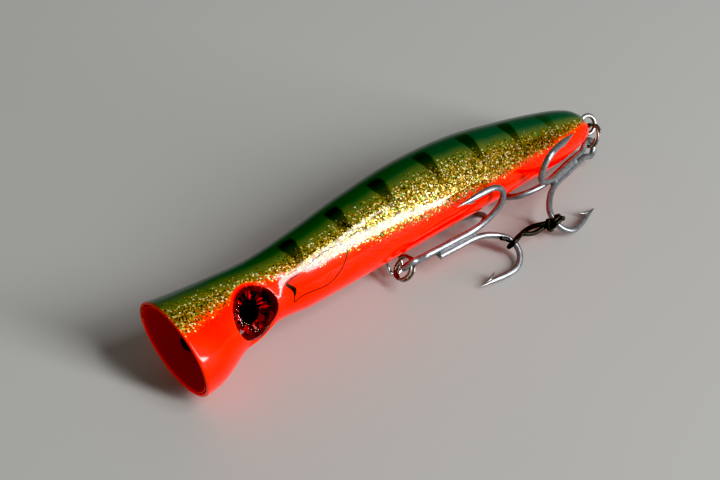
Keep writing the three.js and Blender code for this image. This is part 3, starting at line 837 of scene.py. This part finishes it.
def make_belly_hanger():
    """A loop below the belly. Inside the body its wire goes up over the through wire and down again."""
    left, right = HANGER_X - HANGER_HALF, HANGER_X + HANGER_HALF
    low = in_centre_plane(arc(HANGER_X, HANGER_LOW, HANGER_HALF, 0, -180, 7))

    def leg(x, z, twist):
        return (x, twist * HANGER_TWIST, z)

    path = [leg(right, -7, 0), leg(right, -9.5, 0), *low, leg(left, -9, 0), leg(left, -6, 0),
            leg(left, -2, -1), leg(left, 0.4, -1), leg(left + 1, HANGER_HIGH - 0.5, -0.7),
            leg(HANGER_X, HANGER_HIGH, 0), leg(right - 1, HANGER_HIGH - 0.5, 0.7), leg(right, 0.4, 1),
            leg(right, -2, 1), leg(right, -5, 0.1)]
    form = sweep(spline(path), HANGER_WIRE, 18, up=(0, 1, 0))
    add_piece("belly_hanger_smooth", form, LURE, BRIGHT, "lure", ["belly_hanger"])


make_through_wire()
make_belly_hanger()


# ---- eyes
def eye_matrix(side):
    turn = Matrix.Rotation(-side * EYE_TILT, 4, "Z")
    flip = Matrix.Rotation(math.pi, 4, "X") if side < 0 else Matrix.Identity(4)
    return LURE @ Matrix.Translation((EYE_X, side * EYE_SEAT, EYE_Z)) @ turn @ flip


def make_foil(place, label):
    """A shallow dish with 28 radial ridges pressed into it between the pupil and the edge."""
    rim = EYE_RADIUS - 0.05
    profile = [(0.05, 0), (0.05, EYE_RADIUS - 0.2), (0.12, rim), (0.55, rim), (0.62, EYE_RADIUS - 0.25),
               (0.46, 5.7), (0.34, 4.3), (0.3, 3.0), (0.3, 0)]
    v, f = turned(profile, 56, "y")
    radius, spin = np.hypot(v[:, 0], v[:, 2]), np.arctan2(v[:, 2], v[:, 0])
    pressed = (v[:, 1] > 0.25) & (radius > 2.9) & (radius < 6.6)
    v[:, 1] += np.where(pressed, 0.07 * np.cos(28 * spin + radius * 2), 0)
    foil = add_piece(f"eye_foil_{label}", (v, f), place, FOIL, "lure", [f"eye_iris_{label}"],
                     smooth=False)
    spoke = [np.cos(spin) * SPOKE_SPREAD, np.sin(spin) * SPOKE_SPREAD, radius * SPOKE_STRETCH]
    store(foil.data, "spoke", np.stack(spoke, 1))


def make_pupil(place, label):
    profile = [(PUPIL_BASE, 0), (PUPIL_BASE, PUPIL_RADIUS - 0.08), (PUPIL_BASE + 0.05, PUPIL_RADIUS),
               (PUPIL_TOP - 0.2, PUPIL_RADIUS), (PUPIL_TOP - 0.08, PUPIL_RADIUS - 0.1),
               (PUPIL_TOP - 0.02, PUPIL_RADIUS * 0.6), (PUPIL_TOP, 0)]
    add_piece(f"eye_pupil_spot_{label}", turned(profile, 64, "y"), place, INK, "lure",
              [f"eye_pupil_{label}"])


def make_dome(place, label):
    """The resin lens: a broad top that rounds over steeply at the edge, and is hollow over the foil."""
    across = 1 - np.linspace(0, 1, 64) ** 1.8
    shell = [(DOME_BASE + DOME_HEIGHT * (1 - t**14) ** 0.5, EYE_RADIUS * t) for t in across]
    profile = [(1.6, 0), (1.6, 3), (1.6, 6.2), (1.45, 6.7), (DOME_BASE - 0.15, EYE_RADIUS - 0.1), *shell]
    add_piece(f"eye_dome_clear_{label}", turned(profile, 144, "y"), place, LENS, "lure",
              [f"eye_dome_{label}"])


def make_eye(side, label):
    for make_part in (make_foil, make_pupil, make_dome):
        make_part(eye_matrix(side), label)


make_eye(-1, "left")
make_eye(1, "right")


# ---- rings and hooks
def aim(position, heading, up):
    """Places a piece in the TABLE axes as the CAD does: its x along the heading, its z leaning to up."""
    x = Vector(heading).normalized()
    y = Vector(up).cross(x).normalized()
    turn = Matrix((x, y, x.cross(y))).transposed().to_4x4()
    return TABLE @ Matrix.Translation(position) @ turn


RING_RADIUS, RING_WIRE, RING_PITCH, RING_TURNS = 3.7, 0.45, 1.05, 1.9
# How steeply the wire steps between its two turns, how much a turn leans, and how far the turns are pressed
RING_STEP, RING_LEAN, RING_PRESS = 4.2, 0.9, 0.93


def make_ring(name, place, body, cad_node):
    """Two flat turns with a short step between them, as a split ring is wound."""
    t = np.linspace(0, 1, 150)
    angle = 2 * math.pi * RING_TURNS * t + math.pi / 2
    rise = RING_PITCH * (np.clip((t - 0.5) * RING_STEP, -0.5, 0.5) + (t - 0.5) * RING_LEAN) * RING_PRESS
    path = np.stack([RING_RADIUS * np.cos(angle), RING_RADIUS * np.sin(angle), rise], 1)
    add_piece(name, sweep(path, RING_WIRE, 18), place, DARK, body, [cad_node])


# A treble hook's axis is x, from the middle of its eye to the bends, and each shank lies BUNDLE from the axis
HOOK_WIRE, BUNDLE, HOOK_EYE = 1.0, 1.35, 2.7
BEND_CENTRE, BEND_RADIUS, REACH = 28.2, 6.0, 15.9
LEG_END, POINT_LENGTH, TAPER_LENGTH = 20.6, 5.0, 8.6
PRONGS = 0, -2 * math.pi / 3, 2 * math.pi / 3
BRAZE_FROM, BRAZE_TO, BRAZE_RADIUS = 8.6, 24.2, 1.42


def round_shank(points, angle):
    """Points [along, out from the axis] of a prong that is turned this far round it."""
    return [(x, -r * math.sin(angle), r * math.cos(angle)) for x, r in points]


def prong_line(angle, start):
    bend = arc(BEND_CENTRE, REACH - BEND_RADIUS, BEND_RADIUS, -50, 90, 8)
    line = [(start, BUNDLE), (16, BUNDLE), (21.2, BUNDLE), (24.2, 1.6), (27, 2.34), (29.6, 3.57), *bend,
            (25, REACH), (LEG_END, REACH - 0.3)]
    return round_shank(line, angle)


def point_line(angle):
    """The leg past the last CAD point, out to the needle tip."""
    return round_shank([(LEG_END - 1, REACH - 0.33), (LEG_END - POINT_LENGTH + 0.2, REACH - 0.5)], angle)


def tapered(path, both=False):
    """Radii along a path that ends, or with both also starts, in a long hollow-ground needle point."""
    travelled = travelled_along(path)

    def taper(left):
        t = np.clip(left / TAPER_LENGTH, 0, 1)
        return 0.05 + 0.95 * (1 - (1 - t) ** 1.45)

    radii = taper(travelled[-1] - travelled)
    return HOOK_WIRE * (np.minimum(radii, taper(travelled)) if both else radii)


def barb(angle):
    """A cut sliver that stands up from the inside of the leg, pointing back down it."""
    line = [(LEG_END - 2.2, REACH - 0.8), (LEG_END - 0.8, REACH - 1.0), (LEG_END + 0.9, REACH - 1.7),
            (LEG_END + 2.3, REACH - 2.5)]
    path = spline(round_shank(line, angle), 0.25)
    radii = np.interp(np.linspace(0, 1, len(path)), [0, 0.35, 0.75, 1], [0.15, 0.56, 0.36, 0.05])
    return sweep(path, radii, 12)


def hook_pair(first, second):
    """Two prongs bent from one wire, by way of the eye between them."""
    one, two = prong_line(first, 7), prong_line(second, 7)
    a, b = np.array(one[0]), np.array(two[0])
    across = (a - b) * (0, 1, 1)
    half_gap = np.linalg.norm(across) / 2
    across = unit(across)
    centre = (a + b) / 2 * (0, 1, 1)
    eye = [centre + across * r + (x, 0, 0) for x, r in arc(0, 0, HOOK_EYE, 55, 305, 9)]
    neck = [centre + across * sign * half_gap + (4, 0, 0) for sign in (1, -1)]
    path = spline([*point_line(first)[::-1], *one[::-1], neck[0], *eye, neck[1], *two, *point_line(second)])
    return joined(sweep(path, tapered(path, both=True), 20), barb(first), barb(second))


def hook_third(angle):
    path = spline([*prong_line(angle, 9.5), *point_line(angle)])
    return joined(sweep(path, tapered(path), 20), barb(angle))


def hook_braze():
    """Brazing between the shanks, with a swelling where the third starts and another where the bends part."""
    along = np.linspace(BRAZE_FROM, BRAZE_TO, 70)
    radius = BRAZE_RADIUS + 0 * along
    for place, swelling in ((9.6, 0.3), (23, 0.22)):
        radius += swelling * np.exp(-((along - place) / 0.8) ** 2)
    radius += 0.05 * np.sin(along * 2.3) + 0.03 * np.sin(along * 5.3 + 1)
    radius *= 0.2 + 0.8 * ease(along, 8.5, 9.5) * (1 - ease(along, 23.2, 24.3))
    return sweep(np.stack([along, 0 * along, 0 * along], 1), radius, 24)


def make_hook(label, place, body):
    first, second, third = PRONGS
    add_piece(f"{label}_hook_pair", hook_pair(first, second), place, TIN, body,
              [f"{label}_hook_double"])
    add_piece(f"{label}_hook_third", hook_third(third), place, TIN, body,
              [f"{label}_hook_single"])
    add_piece(f"{label}_hook_braze", hook_braze(), place, SOLDER, body)


make_ring("belly_split_ring", aim((75.31, -10.88, 7.87), (-0.568, 0.351, -0.73), (0.69, -0.272, -0.671)),
          "belly_split_ring", "belly_ring")
make_ring("tail_split_ring", aim((158.59, -5.12, 9.84), (-0.478, -0.751, -0.457), (-0.861, 0.298, 0.413)),
          "tail_split_ring", "tail_ring")
make_hook("belly", aim((76.93, -12.99, 9.83), (0.999, -0.036, -0.033), (0.043, 0.013, 0.999)), "belly_treble")
make_hook("tail", aim((156.28, -6.36, 6.49), (-0.949, -0.279, 0.149), (0.15, -0.015, 0.989)), "tail_treble")

# ---- elastic tie
# In the TABLE axes: a loop round the belly treble's prong, and a knot round the tail treble's
CORD, SPREAD, TWISTS = 0.75, 1.2, 0.5
WRAP_CENTRE, WRAP_HEADING = np.array([110.45, -21.4, 4.7]), np.array([0.24, -0.84, -0.475])
WRAP_UP = unit(np.array([0, -0.49, 0.87]))
WRAP_AWAY = unit(np.cross(WRAP_UP, WRAP_HEADING))
WRAP_RADIUS = 2.0
KNOT_AT, KNOT_HEADING = np.array([125.35, -23.8, 6.4]), np.array([0.1, -0.841, -0.532])
KNOT_RADIUS, KNOT_TURNS, KNOT_LENGTH, KNOT_WINDING = 2.6, 2.3, 2.5, 1.95
# Points about the knot's middle: along its heading, and out from it two ways
KNOT_HITCH = [(-1.6, 2.2, -0.8), (-0.3, 2.9, 0.2), (1.0, 2.6, 1.1), (1.5, 1.1, 2.5), (0.5, -0.5, 2.9)]
KNOT_STUB = [(0.2, -1.4, -1.6), (1.0, -2.1, -1.8)]
LOOSE_END = [(108.9, -20.7, 6.2), (108.0, -20.3, 7.0), (107.2, -19.9, 7.4), (106.6, -19.6, 7.7)]


def strand(phase):
    """One of the two strands, which turn round each other from loop to knot."""
    start = WRAP_CENTRE + WRAP_AWAY * (WRAP_RADIUS + 1.5)
    end = KNOT_AT + unit(start - KNOT_AT) * (KNOT_RADIUS - 0.6)
    across = unit(np.cross(end - start, WRAP_UP))
    points = []
    for t in np.linspace(0, 1, 13):
        a = phase + 2 * math.pi * TWISTS * t
        spread = SPREAD * (1 - 0.3 * ease(t, 0.2, 0.8))
        points.append(start + (end - start) * t + spread * (WRAP_UP * math.cos(a) + across * math.sin(a)))
    return points


def knot_form():
    """Wound turns round the prong, finished with a tucked hitch and one cut stub."""
    along = unit(KNOT_HEADING)
    a = unit(np.cross(along, (0, 0, 1)))
    knot_axes = np.array([along, a, np.cross(along, a)])
    t = np.linspace(0, 1, 110)
    angle = 2 * math.pi * KNOT_TURNS * t
    radius = KNOT_WINDING + 0.3 * np.sin(angle * 0.5 + 1) ** 2
    turns = np.stack([(t - 0.5) * KNOT_LENGTH, radius * np.cos(angle), radius * np.sin(angle)], 1)
    paths = [KNOT_AT + np.array(points) @ knot_axes for points in (turns, KNOT_HITCH, KNOT_STUB)]
    return joined(*(sweep(path, CORD, 14) for path in (paths[0], spline(paths[1]), spline(paths[2]))))


def gather_at_knot(piece):
    """Gives the piece its own copy of its mesh."""
    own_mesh(piece)


def make_tie():
    wrap = [WRAP_CENTRE + WRAP_AWAY * away + WRAP_UP * up for away, up in arc(0, 0, WRAP_RADIUS, 70, 290, 9)]
    band = sweep(spline([*strand(0)[::-1], *wrap, *strand(math.pi)]), CORD)
    loose_end = sweep(spline(LOOSE_END, 0.25), CORD, 14)
    for label, form in (("band", band), ("knot", knot_form()), ("loose_end", loose_end)):
        piece = add_piece(f"elastic_{label}", form, TABLE, RUBBER, "tail_treble", [f"tie_{label}"])
        if label != "knot":
            gather_at_knot(piece)


make_tie()


# ---- inner parts kept from the CAD
def inner_material(name, colour, worn, metallic, roughness, scale):
    material, tree, shader = new_material(name)
    marks = noise(tree, scale, 4, 0.6)
    set_inputs(tree, shader, {
        "Base Color": mix(tree, marks, colour, worn), "Metallic": metallic,
        "Roughness": roughness, "Normal": bump(tree, marks, 0.3, 0.0002)})
    return material


def finish_inner_parts():
    """Materials for the ballast and the rattle, which keep their CAD shapes."""
    lead = inner_material("cast_lead", srgb(118, 120, 126), srgb(74, 76, 82), 0.7, 0.6, 900)
    ball = inner_material("ball_steel", srgb(206, 208, 212), srgb(168, 170, 176), 1, 0.12, 2500)
    clear = inner_material("clear_tube", srgb(214, 222, 224), srgb(190, 202, 206), 0, 0.18, 600)
    kinds = {"ballast": lead, "rattle_ball": ball, "rattle_plug": clear, "rattle_tube": clear}
    for kind, material in kinds.items():
        for name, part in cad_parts.items():
            if name.startswith(kind):
                part.data.materials.clear()
                part.data.materials.append(material)
                if material is not clear:
                    part.data.shade_smooth()


finish_inner_parts()


# ---- floor and light
FLOOR_REACH, FLOOR_GAP = 3.0, 0.00002
LIT_POINT = Vector((75, 0, 15))


def make_floor():
    mesh = bpy.data.meshes.new("floor")
    corners = [(-1, -1), (1, -1), (1, 1), (-1, 1)]
    mesh.from_pydata([(x * FLOOR_REACH, y * FLOOR_REACH, 0) for x, y in corners], [], [(0, 1, 2, 3)])
    floor = bpy.data.objects.new("floor", mesh)
    link(floor)
    floor.location.z = cad_low.z - FLOOR_GAP
    material, tree, shader = new_material("floor")
    tint = mix(tree, noise(tree, 6, 2), srgb(176, 177, 176), srgb(182, 183, 182))
    set_inputs(tree, shader, {"Base Color": tint, "Roughness": 0.6})
    mesh.materials.append(material)


def area_light(name, centre, along, size, power, colour):
    """A soft lamp at centre, in the TABLE axes, with its long side along a line and its face to the lure."""
    toward = (Vector(centre) - LIT_POINT).normalized()
    side = Vector(along).cross(toward).normalized()
    turn = Matrix((side, toward.cross(side), toward)).transposed()
    data = bpy.data.lights.new(name, "AREA")
    data.shape, data.size, data.size_y = "RECTANGLE", size[0] * MM, size[1] * MM
    data.energy, data.color = power, colour
    light = bpy.data.objects.new(name, data)
    light.location = (Vector(centre) + FOOT) * MM
    light.rotation_mode = "QUATERNION"
    light.rotation_quaternion = turn.to_quaternion()
    link(light)


def set_world():
    """A faint warm fill, plain colours and slightly lifted blacks, as in the photo."""
    world = bpy.data.worlds.new("studio")
    bpy.context.scene.world = world
    world.use_nodes = True
    fill_light = world.node_tree.nodes["Background"].inputs
    fill_light["Color"].default_value = (1, 0.99, 0.97, 1)
    fill_light["Strength"].default_value = 0.17
    view = bpy.context.scene.view_settings
    view.view_transform = "Standard"
    view.use_curve_mapping = True
    view.curve_mapping.black_level = (0.02, 0.02, 0.026)


make_floor()
# A tall window at the right draws the long highlight on the flank, and carries on overhead towards the head
area_light("window", (632, -1468, 1149), (335, -444, -758), (270, 940), 29, (1, 0.99, 0.97))
area_light("window_foot", (964, -1724, 400), (305, -60, -680), (170, 800), 16, (1, 0.99, 0.97))
area_light("skylight", (560, -950, 1600), (-435, -1046, -262), (200, 600), 9, (1, 0.99, 0.98))

set_world()
